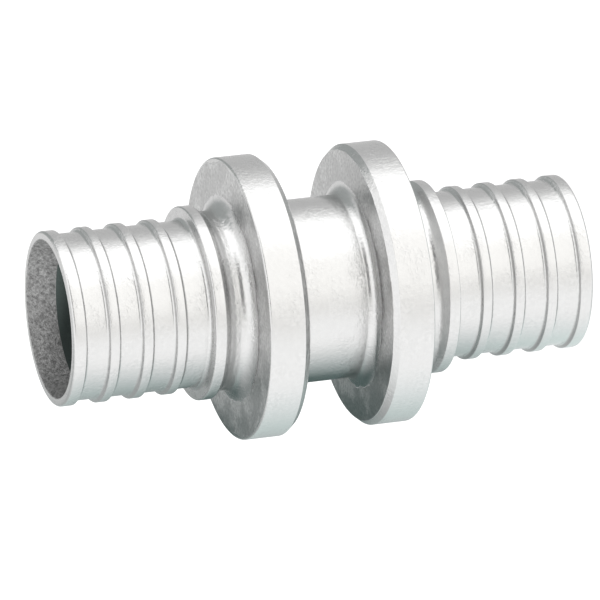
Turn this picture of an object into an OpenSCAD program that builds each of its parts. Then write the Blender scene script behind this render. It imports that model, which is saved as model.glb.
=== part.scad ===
// Straight pex coupling for the sleeve jointing of 32 mm pipe
// One turned piece: two barbed spigots, a collar behind each, and a plain waist between the collars
// It stands on one mouth, so the Z axis is the flow axis and Z = 0 is the lower end face

/* [Bore and walls] */
// Diameter of the through bore
bore_d = 20.5; // [18:0.1:23]
// Wall of a spigot between its ribs
spigot_wall = 1.75; // [1.5:0.05:2.3]
// Wall of the neck between the stop ring and the collar
neck_wall = 2.7; // [2.3:0.05:3.2]
// Wall of the waist between the two collars
waist_wall = 3; // [2:0.05:4]

/* [Mouths] */
// Depth of the tapered lead inside each mouth
lead_depth = 4.1; // [2:0.1:8]
// How far the lead opens the bore on every side, at the end face
lead_rise = 1.1; // [0.5:0.05:1.5]
// Width of the rib at the mouth, up to the end face
mouth_rib_w = 1.85; // [1.2:0.05:2.5]
// Radius on the edge between its crest and the end face
mouth_edge_r = 0.4; // [0.1:0.05:0.6]
// Radius on the edge between the end face and the lead
lip_edge_r = 0.15; // [0.05:0.05:0.3]

/* [Ribs] */
// Number of ribs on a spigot behind the one at its mouth
rib_count = 3; // [1:1:5]
// Distance from one rib to the next
rib_pitch = 4.95; // [4:0.05:6.5]
// Height of a rib above the spigot wall
rib_h = 0.6; // [0.4:0.05:0.9]
// Width of the flat crest of a rib
rib_w = 1.3; // [0.8:0.05:1.8]
// Length along the axis of a rib's sloping flank
rib_flank = 0.25; // [0.1:0.05:0.5]
// Radius in the corner at the foot of a rib
rib_foot_r = 0.45; // [0.1:0.05:0.5]
// Radius on the edges of a rib's crest
rib_edge_r = 0.15; // [0.05:0.05:0.3]

/* [Stop ring] */
// Height of the stop ring above the spigot wall
ring_h = 2; // [1.5:0.1:3.5]
// Width of the ring's crest
ring_w = 1.65; // [1:0.05:3]
// Plain length of the spigot between the last rib and the ring
plain_len = 3.9; // [2:0.1:8]
// Length along the axis of the slope from the ring's crest down to the neck
ring_slope = 1.15; // [0.6:0.05:2]
// Radius in the corner between the spigot and the ring
ring_foot_r = 0.6; // [0.1:0.05:0.8]
// Radius on the edges of the ring's crest
ring_edge_r = 0.25; // [0.05:0.05:0.4]

/* [Neck] */
// Length of the neck from the foot of the ring's slope to the collar's face
neck_len = 3.3; // [2.4:0.1:6]
// Radius of the hollow at the foot of the ring's slope
neck_foot_r = 1.9; // [0.2:0.1:2.5]
// Radius of the hollow corner between the neck and the collar
neck_fillet_r = 2.1; // [0.5:0.1:2.5]

/* [Collars] */
// Diameter of a collar
collar_d = 40.8; // [36:0.1:46]
// Thickness of a collar from face to face
collar_w = 6.1; // [3:0.1:10]
// Chamfer of the rim towards the waist, along the axis
rim_chamfer = 0.9; // [0.3:0.1:1.5]
// The same chamfer, across the axis
rim_chamfer_h = 0.75; // [0.3:0.05:1.5]
// Radius on the rim's edge towards the spigot
rim_edge_r = 0.3; // [0.1:0.05:0.8]
// Distance between the faces of the two collars
waist_len = 12.4; // [8:0.1:30]
// Radius of the hollow corner between the waist and a collar
waist_fillet_r = 1.7; // [0.5:0.1:2.5]

/* [Hidden] */
// Straight pieces in a round corner of the section
corner_steps = 6;
// Straight pieces in the round foot of a rib
foot_steps = 4;
// Straight pieces in a small broken edge of the section
edge_steps = 2;
// Share of a side of the section that a round corner may take up
side_share = 0.45;
// The same on the two sides of the neck's hollow, whose arcs nearly meet
neck_foot_share = 0.3;
neck_fillet_share = 0.65;
// The same on a rib's flank, which its foot and the edge of its crest share
rib_foot_share = 0.6;
rib_edge_share = 0.35;
// Facets of a preview circle
$fn = 128;

// Radii of the turned surfaces
bore_r = bore_d / 2;
mouth_r = bore_r + lead_rise;
groove_r = bore_r + spigot_wall;
crest_r = groove_r + rib_h;
ring_r = groove_r + ring_h;
neck_r = bore_r + neck_wall;
waist_r = bore_r + waist_wall;
collar_r = collar_d / 2;

// Stations along the axis, counted from the middle of the waist towards a mouth
collar_in = waist_len / 2;
collar_out = collar_in + collar_w;
slope_foot = collar_out + neck_len;
ring_in = slope_foot + ring_slope;
ring_out = ring_in + ring_w;
first_rib = ring_out + plain_len;
mouth_rib = first_rib + rib_count * rib_pitch;
half_len = mouth_rib + mouth_rib_w;

function unit(v) = v / norm(v);

// Points of the corner b between a and c, rounded to radius r in n straight pieces
// The arc takes up no more than the given shares of the sides towards a and c
function rounded_corner(a, b, c, r, n, share_a, share_c) =
    let (
        to_a = unit(a - b),
        to_c = unit(c - b),
        half_angle = acos(to_a * to_c) / 2,
        room = min(share_a * norm(a - b), share_c * norm(c - b)),
        fit_r = min(r, room * tan(half_angle)),
        centre = b + unit(to_a + to_c) * fit_r / sin(half_angle),
        start = b + to_a * fit_r / tan(half_angle) - centre,
        end = b + to_c * fit_r / tan(half_angle) - centre,
        from = atan2(start[1], start[0]),
        turn = atan2(start[0] * end[1] - start[1] * end[0], start * end)
    )
    [for (i = [0:n]) centre + fit_r * [cos(from + turn * i / n), sin(from + turn * i / n)]];

// A corner is [radius from the axis, station, rounding, straight pieces], and may also give
// the share of the side before it and of the side after it that its rounding may take up
function point(corner) = [corner[0], corner[1]];
function share(corner, i) = is_undef(corner[i]) ? side_share : corner[i];

function rounded_line(corners) = [
    for (i = [0:len(corners) - 1])
        let (last = len(corners) - 1, here = point(corners[i]))
        each (i == 0 || i == last || corners[i][2] == 0)
            ? [here]
            : rounded_corner(point(corners[i - 1]), here, point(corners[i + 1]),
                             corners[i][2], corners[i][3],
                             share(corners[i], 4), share(corners[i], 5))
];

// Half of the waist, and the collar with its two hollow corners
function collar_corners() = [
    [waist_r, 0, 0, 0],
    [waist_r, collar_in, waist_fillet_r, corner_steps],
    [collar_r - rim_chamfer_h, collar_in, 0, 0],
    [collar_r, collar_in + rim_chamfer, 0, 0],
    [collar_r, collar_out, rim_edge_r, edge_steps],
    [neck_r, collar_out, neck_fillet_r, corner_steps, side_share, neck_fillet_share]
];

// The neck, and the stop ring with its slope towards the collar
function ring_corners() = [
    [neck_r, slope_foot, neck_foot_r, corner_steps, neck_foot_share, side_share],
    [ring_r, ring_in, ring_edge_r, edge_steps],
    [ring_r, ring_out, ring_edge_r, edge_steps],
    [groove_r, ring_out, ring_foot_r, corner_steps]
];

// One rib, whose crest starts at the station given
function rib_corners(station) = [
    [groove_r, station - rib_flank, rib_foot_r, foot_steps, side_share, rib_foot_share],
    [crest_r, station, rib_edge_r, edge_steps, rib_edge_share, side_share],
    [crest_r, station + rib_w, rib_edge_r, edge_steps, side_share, rib_edge_share],
    [groove_r, station + rib_w + rib_flank, rib_foot_r, foot_steps, rib_foot_share, side_share]
];

// The rib that ends the spigot, the end face, and the lead down to the bore
function mouth_corners() = [
    [groove_r, mouth_rib - rib_flank, rib_foot_r, foot_steps, side_share, rib_foot_share],
    [crest_r, mouth_rib, rib_edge_r, edge_steps, rib_edge_share, side_share],
    [crest_r, half_len, mouth_edge_r, corner_steps],
    [mouth_r, half_len, lip_edge_r, edge_steps],
    [bore_r, half_len - lead_depth, 0, 0]
];

// Section line of one half of the coupling, from the middle of the waist over the mouth to the bore
function half_line() = rounded_line([
    each collar_corners(),
    each ring_corners(),
    for (rib = [0:rib_count - 1]) each rib_corners(first_rib + rib * rib_pitch),
    each mouth_corners()
]);

// Half of the section: that line without its point at the middle
function half_section() =
    let (line = half_line())
    [for (i = [1:len(line) - 1]) line[i]];

// The same points on the other side of the middle, in the order that closes the section
function mirrored(points) = [
    for (i = [len(points) - 1:-1:0]) [points[i][0], -points[i][1]]
];

module coupling() {
    color("silver")
        translate([0, 0, half_len])
            rotate_extrude()
                polygon(concat(half_section(), mirrored(half_section())));
}

coupling();
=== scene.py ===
# %% [markdown]
# # A turned metal pipe coupling
# The object is one piece of metal: a bored bar with two ribbed spigots, two stop rings and two collars.
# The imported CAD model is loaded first, because its box is the frame that every piece has to keep to.

# %% Load the frame
from math import acos, atan2, cos, degrees, pi, radians, sin, tan

import bpy
from mathutils import Matrix, Vector


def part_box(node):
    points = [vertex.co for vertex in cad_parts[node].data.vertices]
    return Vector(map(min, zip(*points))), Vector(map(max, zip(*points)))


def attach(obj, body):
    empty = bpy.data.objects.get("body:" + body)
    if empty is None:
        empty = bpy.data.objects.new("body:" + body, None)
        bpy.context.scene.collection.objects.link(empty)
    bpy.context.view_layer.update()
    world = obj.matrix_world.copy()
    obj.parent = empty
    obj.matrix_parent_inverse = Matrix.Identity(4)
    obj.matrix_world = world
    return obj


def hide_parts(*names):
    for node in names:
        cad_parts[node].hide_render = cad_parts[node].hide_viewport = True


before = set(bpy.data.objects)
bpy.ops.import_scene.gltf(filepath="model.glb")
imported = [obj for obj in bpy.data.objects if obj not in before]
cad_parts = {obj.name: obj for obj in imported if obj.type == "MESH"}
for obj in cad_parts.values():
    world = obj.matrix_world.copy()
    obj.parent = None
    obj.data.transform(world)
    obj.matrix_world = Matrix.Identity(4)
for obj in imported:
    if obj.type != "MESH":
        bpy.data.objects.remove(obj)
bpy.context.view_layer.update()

BODY = "root"
NODE = "coupling"
mm = 0.001

scene = bpy.context.scene
low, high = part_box(NODE)
middle = (low.z + high.z) / 2
print("CAD box in mm:", [round(v / mm, 2) for v in (*low, *high)])

# %% [markdown]
# ## Wires and boards
# A node tree is a circuit board, and its links are wires. Writing the maths of a material with the mouse
# takes a node for every plus sign. Here a Wire is an output socket that knows Python's operators, so
# `1 - mask` adds the Math node by itself. A Board adds any other node with one method.

# %% Wires and boards
class Wire:
    """An output socket whose operators add Math nodes."""

    def __init__(self, board, socket):
        self.board = board
        self.socket = socket

    def __add__(self, other):
        return self.board.math("ADD", self, other)

    def __sub__(self, other):
        return self.board.math("SUBTRACT", self, other)

    def __rsub__(self, other):
        return self.board.math("SUBTRACT", other, self)

    def __mul__(self, other):
        return self.board.math("MULTIPLY", self, other)

    def __truediv__(self, other):
        return self.board.math("DIVIDE", self, other)

    __radd__ = __add__
    __rmul__ = __mul__


class Board:
    """A node tree and the one method that adds nodes to it."""

    def __init__(self, tree):
        self.tree = tree

    def add(self, kind, settings=None, **sockets):
        """Adds a node, sets its settings first, then its sockets by name, with _ for a space."""
        node = self.tree.nodes.new(kind)
        for name, value in (settings or {}).items():
            if name == "stops":
                self.set_stops(node.color_ramp, value)
            else:
                setattr(node, name, value)
        for name, value in sockets.items():
            self.plug(self.find(node, name), value)
        return node

    def find(self, node, name):
        """The input named so, or numbered so as in input_1, among those in use."""
        if name.startswith("input_"):
            return node.inputs[int(name.removeprefix("input_"))]
        wanted = name.replace("_", " ").lower()
        return next(s for s in node.inputs if s.enabled and s.name.lower() == wanted)

    def plug(self, socket, value):
        """Links a wire, or each wire of a list, to the socket, or sets any other value on it."""
        if isinstance(value, Wire):
            self.tree.links.new(value.socket, socket)
        elif isinstance(value, list):
            for wire in value:
                self.tree.links.new(wire.socket, socket)
        else:
            socket.default_value = value

    def wire(self, node, output=0):
        return Wire(self, node.outputs[output])

    def out(self, kind, settings=None, output=0, **sockets):
        return self.wire(self.add(kind, settings, **sockets), output)

    def math(self, operation, *values):
        numbered = {f"input_{i}": value for i, value in enumerate(values)}
        return self.out("ShaderNodeMath", {"operation": operation}, **numbered)

    def step(self, value, start, end):
        """Rises smoothly from 0 at start to 1 at end."""
        settings = {"interpolation_type": "SMOOTHSTEP"}
        return self.out("ShaderNodeMapRange", settings, Value=value, From_Min=start, From_Max=end)

    def band(self, value, start, end, soft):
        """Is 1 between start and end, and fades over soft outside them."""
        return self.step(value, start - soft, start) * (1 - self.step(value, end, end + soft))

    def mix(self, share, first, second):
        """Mixes two colours, by the numbers of the Mix node's sockets for colours."""
        settings = {"data_type": "RGBA"}
        return self.out("ShaderNodeMix", settings, output=2, input_0=share, input_6=first, input_7=second)

    @staticmethod
    def set_stops(ramp, stops):
        while len(ramp.elements) > 1:
            ramp.elements.remove(ramp.elements[-1])
        ramp.elements[0].position, ramp.elements[0].color = stops[0]
        for place, colour in stops[1:]:
            ramp.elements.new(place).color = colour


def at_least(least, share):
    """Squeezes a share from 0 to 1 into the range from least to 1."""
    return share * (1 - least) + least


# The output of a Texture Coordinate node that gives Object coordinates
OBJECT_PLACE = 3
print("wires and boards are ready")

# %% [markdown]
# ## The camera
# The photograph was taken with a long lens from about 1.2 m, so the picture has hardly any perspective.
# The coupling stands on one mouth in its own frame, and lies on its collars in the photograph. So the
# camera is rolled instead of the coupling: its up direction is the side of the coupling that faces up
# there. Two angles say how the coupling's axis lies in the picture, and the rest follows from them.

# %% Camera
axis_turn = radians(16.97)
axis_rise = radians(6.50)
camera_distance = 1.1928
centre_right = 1.26 * mm
centre_up = 1.49 * mm
lens_mm = 497.3
sensor_mm = 36
nearest = 0.1
farthest = 50

camera_height = atan2(sin(axis_rise), tan(axis_turn))
axis = Vector((-cos(axis_turn) * cos(axis_rise), -cos(axis_turn) * sin(axis_rise), sin(axis_turn)))
upper = Vector((0, cos(camera_height), sin(camera_height)))
aside = axis.cross(upper)
turn = Matrix((upper, aside, axis))
centre = Vector((centre_right, centre_up, -camera_distance))

camera = bpy.data.objects.new("camera", bpy.data.cameras.new("camera"))
camera.data.lens = lens_mm
camera.data.sensor_width = sensor_mm
camera.data.clip_start = nearest
camera.data.clip_end = farthest
camera.matrix_world = Matrix.Translation(Vector((0, 0, middle)) - turn @ centre) @ turn.to_4x4()
scene.collection.objects.link(camera)
scene.camera = camera
camera_side = atan2(camera.matrix_world.translation.y, camera.matrix_world.translation.x)
print("camera at", [round(v, 4) for v in camera.matrix_world.translation],
      "seen from", round(degrees(camera_side), 1), "degrees round the axis")

# %% [markdown]
# ## The studio
# Polished metal has no colour of its own: what it shows is the room. So the room is drawn with care, as a
# photographer sets up white panels and grey cards. Turned walls mirror what stands level round the
# coupling, and a ramp over the compass says how bright that is. A grey strip stands a little higher in
# front, so that every corner and chamfer gets a dark line, and a dark card behind the coupling does the same
# for the hollow corners at the top. Overhead it is light. Below, it is light in front and dark behind, so
# that the slope of the lower ring is lit and far edges keep their dark line.

# %% Panels of the studio
WARM = (1.0, 0.99, 0.97)
PLAIN = (1.0, 1.0, 1.0)
COOL = (0.95, 1.0, 1.0)
TEAL = (0.88, 1.0, 0.98)
SLATE = (0.94, 1.0, 0.99)

# Degrees round the axis from the camera's side, towards the upper side, with level and tint
PANELS = [
    (-180, 1.05, PLAIN),
    (-164, 1.20, COOL),
    (-140, 1.32, TEAL),
    (-110, 1.35, COOL),
    (-80, 1.38, PLAIN),
    (-45, 1.40, PLAIN),
    (-22, 1.22, WARM),
    (-8, 1.48, WARM),
    (5, 1.58, WARM),
    (36, 1.60, WARM),
    (50, 1.90, PLAIN),
    (92, 1.90, PLAIN),
    (104, 1.20, PLAIN),
    (118, 0.80, PLAIN),
    (135, 0.67, PLAIN),
    (162, 0.67, PLAIN),
    (180, 0.95, PLAIN),
]
RAMP_TOP = 2.0


def panel(level, tint=PLAIN):
    """A panel's colour on a ramp whose white is RAMP_TOP: its level times a slight tint."""
    return (*(level / RAMP_TOP * part for part in tint), 1)


print("studio has", len(PANELS), "panels round the axis")

# %% [markdown]
# ## What stands above and below the panels
# Each thing has a level, a stretch of heights and, unless it goes all round, a stretch of the compass. A
# direction's third number is the sine of its angle above level, so the heights are given as sines.

# %% Room of the studio
def heights(*angles):
    """How high directions at these angles above level point, from -1 to 1."""
    return [sin(radians(angle)) for angle in angles]


def turns(*angles):
    """Angles round the axis, given in degrees."""
    return [radians(angle) for angle in angles]


# The sky begins lower behind the coupling than in front of it, and is darker there
SKY_BEHIND = 0.92
SKY_IN_FRONT = 1.42
LOW_SKY = heights(-2, 15)
HIGH_SKY = heights(24, 55)

# The grey strip, which begins and ends between these angles
STRIP_LEVEL = 0.24
STRIP_SHARE = 0.92
STRIP_HEIGHTS = heights(2, 24)
STRIP_FADE = 0.10
STRIP_START = turns(-28, -8)
STRIP_END = turns(28, 72)

# The dark card stands behind, towards the upper side
BACK_CARD_LEVEL = 0.44
BACK_CARD_SHARE = 0.92
BACK_CARD_HEIGHTS = heights(-5, 30)
BACK_CARD_FADE = 0.13
BACK_CARD_SIDES = turns(112, 160)
BACK_CARD_SIDE_FADE = radians(14)

# The ground
GROUND_BEHIND = 0.42
GROUND_IN_FRONT = 1.50
GROUND_HEIGHTS = heights(-80, -40)

# Where behind turns into in front, from -1 for straight behind to 1 for straight in front
SKY_TURN = (-0.95, 0.65)
LOW_SKY_TURN = (-0.5, 0.2)
GROUND_TURN = (-0.15, 0.22)


def make_studio():
    world = bpy.data.worlds.new("studio")
    world.use_nodes = True
    world.node_tree.nodes.clear()
    board = Board(world.node_tree)
    way = board.out("ShaderNodeTexCoord")
    parts = board.add("ShaderNodeSeparateXYZ", Vector=way)
    across, along, rise = (board.wire(parts, i) for i in range(3))
    towards = across * cos(camera_side) + along * sin(camera_side)
    compass = board.math("ARCTAN2", along, across) - camera_side
    turned = board.math("WRAP", compass, pi, -pi)

    stops = [((angle + 180) / 360, panel(level, tint)) for angle, level, tint in PANELS]
    colour = board.out("ShaderNodeValToRGB", {"stops": stops}, Fac=turned / (2 * pi) + 0.5)

    sky = board.mix(board.step(towards, *SKY_TURN), panel(SKY_BEHIND), panel(SKY_IN_FRONT))
    low_sky = board.step(rise, *LOW_SKY) * (1 - board.step(towards, *LOW_SKY_TURN))
    high_sky = board.step(rise, *HIGH_SKY)
    colour = board.mix(board.math("MAXIMUM", low_sky, high_sky), colour, sky)

    strip = board.step(turned, *STRIP_START) * (1 - board.step(turned, *STRIP_END))
    strip = strip * board.band(rise, *STRIP_HEIGHTS, STRIP_FADE)
    colour = board.mix(strip * STRIP_SHARE, colour, panel(STRIP_LEVEL))

    card = board.band(turned, *BACK_CARD_SIDES, BACK_CARD_SIDE_FADE)
    card = card * board.band(rise, *BACK_CARD_HEIGHTS, BACK_CARD_FADE)
    colour = board.mix(card * BACK_CARD_SHARE, colour, panel(BACK_CARD_LEVEL, SLATE))

    in_front = board.step(towards, *GROUND_TURN)
    ground = board.mix(in_front, panel(GROUND_BEHIND, TEAL), panel(GROUND_IN_FRONT))
    colour = board.mix(1 - board.step(rise, *GROUND_HEIGHTS), colour, ground)
    light = board.out("ShaderNodeBackground", Color=colour, Strength=RAMP_TOP)
    board.add("ShaderNodeOutputWorld", Surface=light)
    return world


scene.world = make_studio()
scene.view_settings.view_transform = "Standard"
scene.view_settings.look = "None"
print("studio has", len(scene.world.node_tree.nodes), "nodes")

# %% [markdown]
# ## The floor
# The coupling stands on a plain white floor. A floor that shone in the metal would wash its walls out,
# because the camera looks down on them, so mirror rays pass through it. Part of its white is its own
# light, which keeps it plain in every view and leaves only a faint shadow round the foot.

# %% Floor
FLOOR_HALF = 6.0
FLOOR_GREY = 0.5
FLOOR_GLOW = 0.66


def make_sheet(name, corners, material):
    """A flat sheet with four corners."""
    mesh = bpy.data.meshes.new(name)
    mesh.from_pydata(corners, [], [(0, 1, 2, 3)])
    mesh.materials.append(material)
    sheet = bpy.data.objects.new(name, mesh)
    scene.collection.objects.link(sheet)
    return sheet


def make_floor():
    white = bpy.data.materials.new("floor_white")
    white.use_nodes = True
    shader = white.node_tree.nodes["Principled BSDF"]
    shader.inputs["Base Color"].default_value = (FLOOR_GREY, FLOOR_GREY, FLOOR_GREY, 1)
    shader.inputs["Roughness"].default_value = 1
    shader.inputs["Specular IOR Level"].default_value = 0
    shader.inputs["Emission Color"].default_value = (1, 1, 1, 1)
    shader.inputs["Emission Strength"].default_value = FLOOR_GLOW
    corners = [(x * FLOOR_HALF, y * FLOOR_HALF, 0) for x, y in ((-1, -1), (1, -1), (1, 1), (-1, 1))]
    floor = make_sheet("floor", corners, white)
    floor.visible_glossy = False
    return floor


make_floor()
print("floor is", 2 * FLOOR_HALF, "m wide")

# %% [markdown]
# ## The shade card
# The coupling lies on its collars in the photograph, and the metal's lower side mirrors the ground that
# it lies on. Here it stands, so a card takes the place of that ground: a sheet just off the collars, clear
# as glass where the ground would be lit and dark where it would be close under the metal. Only mirror rays
# see it, as with the black cards that a photographer holds beside a bottle. It is cheaper than a second
# floor, and it gives each wall the darker side that it has near the ground.

# %% Shade card
CARD_GAP = 20.55 * mm
CARD_COLOUR = (0.05, 0.095, 0.09, 1)
card_side = camera_side - radians(12)
card_up = card_side + pi / 2

# Millimetres across the card, from its back to its front, and up it
CARD_REACH = (-200, 40)
CARD_RISE = (-40, 160)
FRONT_FADE = (-8, 24)
BACK_FADE = (-110, -12)
FOOT_FADE = (-10, 30)
HEAD_FADE = (50, 90)

# Two stretches that are darker than the rest, with the fade at their ends
UNDER_WAIST = (33, 41, 4)
UNDER_RING = (52, 53.8, 1.8)

# How dark the card is, what it loses at its head, and what is left at its back and its foot
CARD_SHARE = 0.74
CARD_DARKEST = 0.94
EVEN_SHADE = 1.02
WAIST_SHADE = 0.38
RING_SHADE = 0.28
HEAD_LOSS = 0.45
BACK_LEAST = 0.05
FOOT_LEAST = 0.25


def card_shade(board):
    """How dark the card is at a point, from 0 for clear."""
    place = board.out("ShaderNodeTexCoord", output=OBJECT_PLACE)
    parts = board.add("ShaderNodeSeparateXYZ", Vector=place)
    x, y, z = (board.wire(parts, i) / mm for i in range(3))
    across = x * cos(card_side) + y * sin(card_side)
    near = 1 - board.step(across, *FRONT_FADE)
    behind = at_least(BACK_LEAST, board.step(across, *BACK_FADE))
    ends = at_least(FOOT_LEAST, board.step(z, *FOOT_FADE))
    ends = ends * (1 - board.step(z, *HEAD_FADE) * HEAD_LOSS)
    stretches = board.band(z, *UNDER_WAIST) * WAIST_SHADE + board.band(z, *UNDER_RING) * RING_SHADE
    shade = near * behind * ends * (EVEN_SHADE + stretches) * CARD_SHARE
    return board.math("MINIMUM", shade, CARD_DARKEST)


def make_shade_card():
    dark = bpy.data.materials.new("shade")
    dark.use_nodes = True
    dark.node_tree.nodes.clear()
    board = Board(dark.node_tree)
    clear = board.out("ShaderNodeBsdfTransparent")
    black = board.out("ShaderNodeEmission", Color=CARD_COLOUR, Strength=1.0)
    mixed = board.out("ShaderNodeMixShader", input_0=card_shade(board), input_1=clear, input_2=black)
    board.add("ShaderNodeOutputMaterial", Surface=mixed)

    back, front = CARD_REACH
    foot, head = CARD_RISE
    forward = Vector((cos(card_side), sin(card_side), 0)) * mm
    upward = Vector((0, 0, 1)) * mm
    off = Vector((cos(card_up), sin(card_up), 0)) * CARD_GAP
    spots = [(back, foot), (front, foot), (front, head), (back, head)]
    corners = [forward * across + upward * rise - off for across, rise in spots]
    card = make_sheet("shade_card", corners, dark)
    card.visible_camera = False
    card.visible_diffuse = False
    card.visible_shadow = False
    return card


make_shade_card()
print("shade card stands", round(CARD_GAP / mm, 2), "mm from the axis")

# %% [markdown]
# ## The sizes of the turned section
# A turner reads a section: radii across the axis, and stations along it from the middle of the waist.
# These are the sizes of the CAD model, in metres, so that the finer body below keeps to its walls.

# %% Sizes of the section
bore_r = 10.25 * mm
spigot_r = 12.0 * mm
crest_r = 12.6 * mm
ring_r = 14.0 * mm
neck_r = 12.95 * mm
waist_r = 13.25 * mm
collar_r = 20.4 * mm
mouth_r = 11.35 * mm
half_len = high.z - middle
lead_depth = 4.1 * mm

collar_in = 6.2 * mm
collar_out = 12.3 * mm
slope_foot = 15.6 * mm
ring_in = 16.75 * mm
ring_out = 18.4 * mm
first_rib = 22.3 * mm
rib_pitch = 4.95 * mm
rib_count = 3
rib_w = 1.3 * mm
rib_flank = 0.25 * mm
mouth_rib = first_rib + rib_count * rib_pitch

rim_chamfer = 0.9 * mm
rim_chamfer_h = 0.75 * mm
mouth_edge = 0.4 * mm
lip_edge = 0.15 * mm

waist_fillet = 1.7 * mm
neck_fillet = 2.1 * mm
slope_fillet = 1.9 * mm
ring_foot = 0.6 * mm
ring_edge = 0.25 * mm
rib_foot = 0.45 * mm
rib_edge = 0.15 * mm
rim_edge = 0.3 * mm
fine_edge = 0.06 * mm
print("half of the coupling is", round(half_len / mm, 2), "mm long")

# %% [markdown]
# ## Round corners
# No turned corner is sharp. Each corner of the section has a radius, and is drawn as a short arc. The
# number of points on an arc grows with its size, so that large hollows are smooth and small edges cheap.

# %% Round corners
HOLLOW = 1 * mm
HOLLOW_STEPS = 12
FOOT = 0.2 * mm
FOOT_STEPS = 6
EDGE_STEPS = 3


def arc_steps(radius):
    """Straight pieces in an arc of that radius."""
    if radius > HOLLOW:
        return HOLLOW_STEPS
    return FOOT_STEPS if radius > FOOT else EDGE_STEPS


def rounded(before, corner, after, radius):
    """The points of an arc of that radius in the corner."""
    to_before = (before - corner).normalized()
    to_after = (after - corner).normalized()
    half_angle = acos(max(-1, min(1, to_before.dot(to_after)))) / 2
    hub = corner + (to_before + to_after).normalized() * radius / sin(half_angle)
    start = corner + to_before * radius / tan(half_angle) - hub
    end = corner + to_after * radius / tan(half_angle) - hub
    sweep = start.angle_signed(end)
    steps = arc_steps(radius)
    return [hub + Matrix.Rotation(-sweep * i / steps, 2) @ start for i in range(steps + 1)]


def section_line(corners):
    """Points of a line through corners of (radius from the axis, station, rounding)."""
    spots = [Vector(corner[:2]) for corner in corners]
    line = [spots[0]]
    for i in range(1, len(corners) - 1):
        radius = corners[i][2]
        line += rounded(spots[i - 1], spots[i], spots[i + 1], radius) if radius else [spots[i]]
    return line + [spots[-1]]


print("the hollow corner of the waist has", arc_steps(waist_fillet), "steps")

# %% [markdown]
# ## Three stretches of the section
# Half of the section is cut into three stretches: the collar with the stop ring, one rib, and the mouth
# with the bore behind it. Only one rib is drawn, because the tree below repeats it along the spigot.

# %% Stretches of the section
rib_start = -0.5 * (rib_pitch - rib_w)

COLLAR = [
    (waist_r, 0, 0),
    (waist_r, collar_in, waist_fillet),
    (collar_r - rim_chamfer_h, collar_in, fine_edge),
    (collar_r, collar_in + rim_chamfer, fine_edge),
    (collar_r, collar_out, rim_edge),
    (neck_r, collar_out, neck_fillet),
    (neck_r, slope_foot, slope_fillet),
    (ring_r, ring_in, ring_edge),
    (ring_r, ring_out, ring_edge),
    (spigot_r, ring_out, ring_foot),
    (spigot_r, first_rib + rib_start, 0),
]
RIB = [
    (spigot_r, rib_start, 0),
    (spigot_r, -rib_flank, rib_foot),
    (crest_r, 0, rib_edge),
    (crest_r, rib_w, rib_edge),
    (spigot_r, rib_w + rib_flank, rib_foot),
    (spigot_r, rib_start + rib_pitch, 0),
]
MOUTH = [
    (spigot_r, mouth_rib + rib_start, 0),
    (spigot_r, mouth_rib - rib_flank, rib_foot),
    (crest_r, mouth_rib, rib_edge),
    (crest_r, half_len, mouth_edge),
    (mouth_r, half_len, lip_edge),
    (bore_r, half_len - lead_depth, fine_edge),
    (bore_r, 0, 0),
]


def outline_object(name, corners):
    """A line of edges in the section's plane, with the radius as x and the station as y."""
    line = section_line(corners)
    mesh = bpy.data.meshes.new(name)
    mesh.from_pydata([(p.x, p.y, 0) for p in line], [(i, i + 1) for i in range(len(line) - 1)], [])
    outline = bpy.data.objects.new(name, mesh)
    scene.collection.objects.link(outline)
    print(name, "has", len(line), "points")
    return outline


outlines = {
    "Collar outline": outline_object("collar_outline", COLLAR),
    "Rib outline": outline_object("rib_outline", RIB),
    "Mouth outline": outline_object("mouth_outline", MOUTH),
}

# %% [markdown]
# ## The body as a rule
# The body could be lathed by a Screw modifier, but then the ribs would have to be in its outline one by
# one. Geometry Nodes say it as the turner would: repeat the rib at its pitch, join the stretches, mirror
# them over the middle of the waist, and sweep the closed section round a circle.

# %% Tree of the turned body
ROUND_STEPS = 256
WELD = 1e-6
# The output of an Object Info node that gives the object's geometry
OBJECT_GEOMETRY = 4


def add_input(tree, kind, name, value=None):
    socket = tree.interface.new_socket(name=name, in_out="INPUT", socket_type=kind)
    if value is not None:
        socket.default_value = value


def section_curve(board, take):
    """The closed section: ribs repeated, stretches joined and mirrored, ends welded."""
    drawn = {}
    for name in outlines:
        drawn[name] = board.out("GeometryNodeObjectInfo", output=OBJECT_GEOMETRY, Object=take[name])
    start = board.out("ShaderNodeCombineXYZ", Y=take["First rib"])
    pitch = board.out("ShaderNodeCombineXYZ", Y=take["Rib pitch"])
    places = board.out("GeometryNodeMeshLine", Count=take["Rib count"], Start_Location=start, Offset=pitch)
    ribs = board.out("GeometryNodeInstanceOnPoints", Points=places, Instance=drawn["Rib outline"])
    ribs = board.out("GeometryNodeRealizeInstances", Geometry=ribs)
    stretches = [drawn["Collar outline"], ribs, drawn["Mouth outline"]]
    half = board.out("GeometryNodeJoinGeometry", Geometry=stretches)
    other = board.out("GeometryNodeTransform", Geometry=half, Scale=(1, -1, 1))
    whole = board.out("GeometryNodeJoinGeometry", Geometry=[half, other])
    whole = board.out("GeometryNodeMergeByDistance", Geometry=whole, Distance=WELD)
    return board.out("GeometryNodeMeshToCurve", Mesh=whole)


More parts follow.
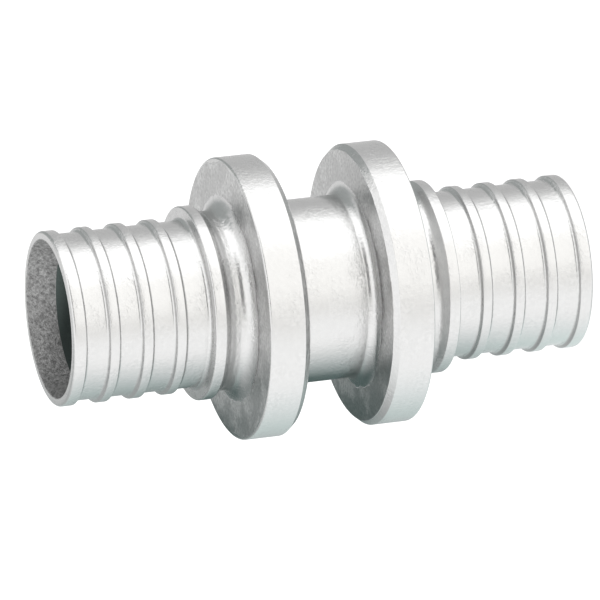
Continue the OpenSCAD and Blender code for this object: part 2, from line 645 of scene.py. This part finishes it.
def make_body_tree():
    tree = bpy.data.node_groups.new("turned_body", "GeometryNodeTree")
    for name in outlines:
        add_input(tree, "NodeSocketObject", name)
    add_input(tree, "NodeSocketInt", "Rib count", rib_count)
    add_input(tree, "NodeSocketFloat", "First rib", first_rib)
    add_input(tree, "NodeSocketFloat", "Rib pitch", rib_pitch)
    add_input(tree, "NodeSocketFloat", "Height of the middle", middle)
    add_input(tree, "NodeSocketInt", "Steps round", ROUND_STEPS)
    add_input(tree, "NodeSocketMaterial", "Metal")
    tree.interface.new_socket(name="Geometry", in_out="OUTPUT", socket_type="NodeSocketGeometry")
    board = Board(tree)
    given = board.add("NodeGroupInput")
    take = {socket.name: Wire(board, socket) for socket in given.outputs if socket.name}

    section = section_curve(board, take)
    section = board.out("GeometryNodeTransform", Geometry=section, Translation=(-bore_r, 0, 0))
    steps = take["Steps round"]
    path = board.out("GeometryNodeCurvePrimitiveCircle", Resolution=steps, Radius=bore_r)
    lathed = board.out("GeometryNodeCurveToMesh", Curve=path, Profile_Curve=section)
    lift = board.out("ShaderNodeCombineXYZ", Z=take["Height of the middle"])
    placed = board.out("GeometryNodeTransform", Geometry=lathed, Translation=lift)
    outward = board.out("GeometryNodeFlipFaces", Mesh=placed)
    smooth = board.out("GeometryNodeSetShadeSmooth", Geometry=outward)
    real = board.out("GeometryNodeRealizeInstances", Geometry=smooth)
    dressed = board.out("GeometryNodeSetMaterial", Geometry=real, Material=take["Metal"])
    board.add("NodeGroupOutput", Geometry=dressed)
    return tree


body_tree = make_body_tree()
print("body tree has", len(body_tree.nodes), "nodes")

# %% [markdown]
# ## Where the metal changes
# The coupling is one metal with several finishes, because a machine has been at some of its faces and not
# at others. Each finish gets a mask, worked out from two numbers that a turner would use too: how far a
# point lies from the axis, and how far from the middle of the waist. Object coordinates give both.

# %% Masks of the finishes
thin = 0.05 * mm
crisp = 0.12 * mm
soft = 0.25 * mm
plain_rim = 0.5 * mm


class Zones:
    """Masks over the coupling, from the distance to the axis and to the middle."""

    def __init__(self, board):
        self.board = board
        self.place = board.out("ShaderNodeTexCoord", output=OBJECT_PLACE)
        parts = board.add("ShaderNodeSeparateXYZ", Vector=self.place)
        across, along, height = (board.wire(parts, i) for i in range(3))
        self.radius = board.math("SQRT", across * across + along * along)
        self.station = board.math("ABSOLUTE", height - middle)

    def face(self, station, radius, inner, outer, fade):
        """A flat face across the axis, where the radius given lies between two others."""
        level = self.board.band(self.station, station - thin, station + thin, thin)
        return level * self.board.band(radius, inner, outer, fade)

    # The bore's mask carries painted shade: its dark teal tone stands for the unlit depth inside it.
    def inside(self):
        """The lead and the bore."""
        return 1 - self.board.step(self.radius, mouth_r + 2 * thin, mouth_r + 4 * thin)

    def lead(self):
        start = half_len - lead_depth
        return self.inside() * self.board.step(self.station, start - thin, start + thin)

    def cast(self, ragged):
        """The faces of the collars that kept the skin of the blank, with a ragged inner edge."""
        loose = self.radius + ragged
        chamfer_r = collar_r - rim_chamfer_h
        outer_face = self.face(collar_out, loose, neck_r + neck_fillet, collar_r - plain_rim, crisp)
        inner_face = self.face(collar_in, loose, waist_r + waist_fillet, chamfer_r, crisp)
        return outer_face + inner_face

    def ring_face(self):
        return self.face(ring_out, self.radius, spigot_r + ring_foot, ring_r - soft, soft)


print("masks fade over", crisp / mm, "to", soft / mm, "mm")

# %% [markdown]
# ## The patterns of the metal
# The outside is turned and plated: a satin metal with a fine orange peel. The faces of the collars and
# the taper inside the mouth keep the grain of the cast blank, so they are rougher and a little darker.
# The grain is a bump, because it rises less than about a tenth of a millimetre, and the walls are real. The
# patterns are noises, with cells for the pits in the taper. Only the lines that the lathe left need
# coordinates of their own, which stay the same all round the axis.

# %% Patterns of the metal
# Scale, detail and roughness of each noise
PEEL = (1900, 2, 0.5)
GRAIN = (2100, 4, 0.65)
PATCHES = (260, 3, 0.6)
MOTTLE = (1700, 4, 0.65)
LATHE_LINES = (4200, 3, 0.6)
PITS_SCALE = 2200

# The stretch of a noise that becomes a share from 0 to 1
PATCH_STEP = (0.42, 0.62)
MOTTLE_STEP = (0.35, 0.68)
# What is left of a finish between its patches
SKIN_LEAST = 0.55
SPECKLE_LEAST = 0.4
LINES_LEAST = 0.25
# Share of the cast skin on the square face of the stop ring, and how ragged the skin's edge is
RING_SKIN = 0.4
RAGGED = 2 * mm


def noise(board, place, pattern):
    scale, detail, roughness = pattern
    return board.out("ShaderNodeTexNoise", Vector=place, Scale=scale, Detail=detail, Roughness=roughness)


print("finest pattern repeats about every", round(1000 / LATHE_LINES[0], 2), "mm")

# %% [markdown]
# ## The metal
# Three numbers change from finish to finish: how rough the metal is, how light, and how its surface
# rises. Each starts from the satin of the turned walls, and each finish adds its own part, so that one
# material holds them all and the finishes fade into each other as on the real piece.

# %% Metal
SATIN_ROUGHNESS = 0.22
PEEL_ROUGHNESS = 0.06
SPECKLE_ROUGHNESS = 0.10
SKIN_ROUGHNESS = 0.20
LEAD_ROUGHNESS = 0.26

SATIN_TONE = 0.62
SPECKLE_TONE = 0.05
LINES_TONE = 0.05
CAST_TONE = 0.12
CAST_PATCHES = 1.1
LEAD_TONE = 0.42
# The bore's dark tone and teal tint are painted shade, for the unlit depth of the bore.
BORE_PAINTED_SHADE = 0.51
SKIN_FLECKS = 0.9
LEAD_FLECKS = 0.6
SILVER = (1.0, 1.0, 0.995, 1)
BORE_SHADE_TINT = (0.80, 1.0, 0.95, 1)
BORE_DULLNESS = 0.6
LEAD_DULLNESS = 0.5

# Heights in millimetres
PEEL_HEIGHT = 0.003
LINES_HEIGHT = 0.002
SPECKLE_HEIGHT = 0.022
SKIN_HEIGHT = 0.07
CAST_HEIGHT = 0.03
LEAD_HEIGHT = 0.20
PITS_HEIGHT = 0.015


def make_metal():
    metal = bpy.data.materials.new("satin_metal")
    metal.use_nodes = True
    board = Board(metal.node_tree)
    shader = metal.node_tree.nodes["Principled BSDF"]
    zones = Zones(board)
    peel, grain, patch, mottle = (noise(board, zones.place, p) for p in (PEEL, GRAIN, PATCHES, MOTTLE))
    ring_place = board.out("ShaderNodeCombineXYZ", X=zones.radius, Y=zones.station)
    turned = noise(board, ring_place, LATHE_LINES)
    pits = board.out("ShaderNodeTexVoronoi", {"feature": "F1"}, Vector=zones.place, Scale=PITS_SCALE)
    patchy = board.step(patch, *PATCH_STEP)
    rough_grain = grain - 0.5

    cast = zones.cast((patch - 0.5) * RAGGED)
    lead, ring_face, inside = zones.lead(), zones.ring_face(), zones.inside()
    bore = inside - lead
    satin = 1 - cast - inside
    skin = cast * at_least(SKIN_LEAST, patchy) + ring_face * RING_SKIN
    speckle = (board.step(mottle, *MOTTLE_STEP) - 0.5) * satin * at_least(SPECKLE_LEAST, patchy)
    lines = (turned - 0.5) * satin * at_least(LINES_LEAST, patchy)

    roughness = SATIN_ROUGHNESS + (peel - 0.5) * PEEL_ROUGHNESS + speckle * SPECKLE_ROUGHNESS
    roughness = roughness + skin * SKIN_ROUGHNESS + lead * LEAD_ROUGHNESS

    tone = SATIN_TONE + speckle * SPECKLE_TONE + lines * LINES_TONE
    # The bore's part of the tone darkens it: painted shade.
    tone = tone + cast * (patchy - CAST_PATCHES) * CAST_TONE - lead * LEAD_TONE - bore * BORE_PAINTED_SHADE
    tone = tone + rough_grain * (skin * SKIN_FLECKS + lead * LEAD_FLECKS)
    # The bore's teal tint is the colour of its painted shade.
    tint = board.mix(bore, SILVER, BORE_SHADE_TINT)
    colour = board.out("ShaderNodeVectorMath", {"operation": "SCALE"}, Vector=tint, Scale=tone)

    height = (peel - 0.5) * PEEL_HEIGHT + lines * LINES_HEIGHT + speckle * SPECKLE_HEIGHT
    height = height + rough_grain * skin * SKIN_HEIGHT + cast * CAST_HEIGHT
    height = height + lead * (rough_grain * LEAD_HEIGHT + pits * PITS_HEIGHT)
    bump = board.out("ShaderNodeBump", Strength=1.0, Distance=mm, Height=height)
    board.plug(shader.inputs["Metallic"], 1 - bore * BORE_DULLNESS - lead * LEAD_DULLNESS)
    board.plug(shader.inputs["Base Color"], colour)
    board.plug(shader.inputs["Roughness"], roughness)
    board.plug(shader.inputs["Normal"], bump)
    return metal


metal = make_metal()
print("metal has", len(metal.node_tree.nodes), "nodes")

# %% [markdown]
# ## Make the body
# The tree runs once, and its result is kept as a plain mesh, because the export reads meshes only. Edges
# that turn sharply are marked, and long walls keep their own normals, so that reflections stay straight.

# %% Make the body
SHARP_TURN = radians(32)


def plain_mesh(holder):
    """The object's mesh as its modifiers leave it."""
    bpy.context.view_layer.update()
    depsgraph = bpy.context.evaluated_depsgraph_get()
    return bpy.data.meshes.new_from_object(holder.evaluated_get(depsgraph), depsgraph=depsgraph)


def make_body():
    holder = bpy.data.objects.new("body_holder", bpy.data.meshes.new("holder"))
    scene.collection.objects.link(holder)
    lathe = holder.modifiers.new("lathe", "NODES")
    lathe.node_group = body_tree
    socket = {s.name: s.identifier for s in body_tree.interface.items_tree if s.in_out == "INPUT"}
    for name, outline in outlines.items():
        lathe[socket[name]] = outline
    lathe[socket["Metal"]] = metal
    mesh = plain_mesh(holder)
    holder.modifiers.remove(lathe)
    for spare in (holder, *outlines.values()):
        bpy.data.objects.remove(spare)
    mesh.set_sharp_from_angle(angle=SHARP_TURN)
    body = bpy.data.objects.new("coupling_body", mesh)
    scene.collection.objects.link(body)
    return body


def keep_wall_normals(body):
    """Lets the large faces at a corner set its normals, so that a flat wall shades flat to its end."""
    weigh = body.modifiers.new("weigh", "WEIGHTED_NORMAL")
    weigh.keep_sharp = True
    mesh = plain_mesh(body)
    body.modifiers.remove(weigh)
    spare, body.data = body.data, mesh
    bpy.data.meshes.remove(spare)
    mesh.name = "coupling_body"


body = make_body()
keep_wall_normals(body)
faces = body.data.polygons
corners = [v.co for v in body.data.vertices]
reach = [(min(c[i] for c in corners), max(c[i] for c in corners)) for i in range(3)]
print("body has", len(faces), "faces,", sum(len(face.vertices) - 2 for face in faces), "triangles")
print("box in mm", [(round(least / mm, 3), round(most / mm, 3)) for least, most in reach])
volume = sum(face.center.dot(face.normal) * face.area for face in faces) / 3
print("volume in mm3", round(volume / mm ** 3, 1))

# %% [markdown]
# ## A lamp for the mouth
# The taper inside the mouth is rough, so it shows how the light falls and not what stands around. A
# photographer would turn one low lamp into the mouth. It comes in so low that the bore behind the taper
# stays dark, and it is linked to the coupling alone, so that it throws no shadow on the white floor.

# %% Lamp for the mouth
LAMP_SIDE = radians(-45)
LAMP_RISE = radians(13)
LAMP_WIDTH = radians(14)
LAMP_STRENGTH = 5.0


def make_mouth_lamp(body):
    lamp = bpy.data.objects.new("mouth_lamp", bpy.data.lights.new("mouth_lamp", "SUN"))
    lamp.data.energy = LAMP_STRENGTH
    lamp.data.angle = LAMP_WIDTH
    side = camera_side + LAMP_SIDE
    back = Vector((cos(side) * cos(LAMP_RISE), sin(side) * cos(LAMP_RISE), sin(LAMP_RISE)))
    lamp.rotation_euler = back.to_track_quat("Z", "Y").to_euler()
    lamp.visible_glossy = False
    scene.collection.objects.link(lamp)
    lit = bpy.data.collections.new("lit_by_mouth_lamp")
    lit.objects.link(body)
    lamp.light_linking.receiver_collection = lit
    return lamp


make_mouth_lamp(body)
print("mouth lamp shines", round(degrees(LAMP_RISE), 1), "degrees above level")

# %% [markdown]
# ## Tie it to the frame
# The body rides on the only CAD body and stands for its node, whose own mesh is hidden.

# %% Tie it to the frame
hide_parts(NODE)
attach(body, BODY)
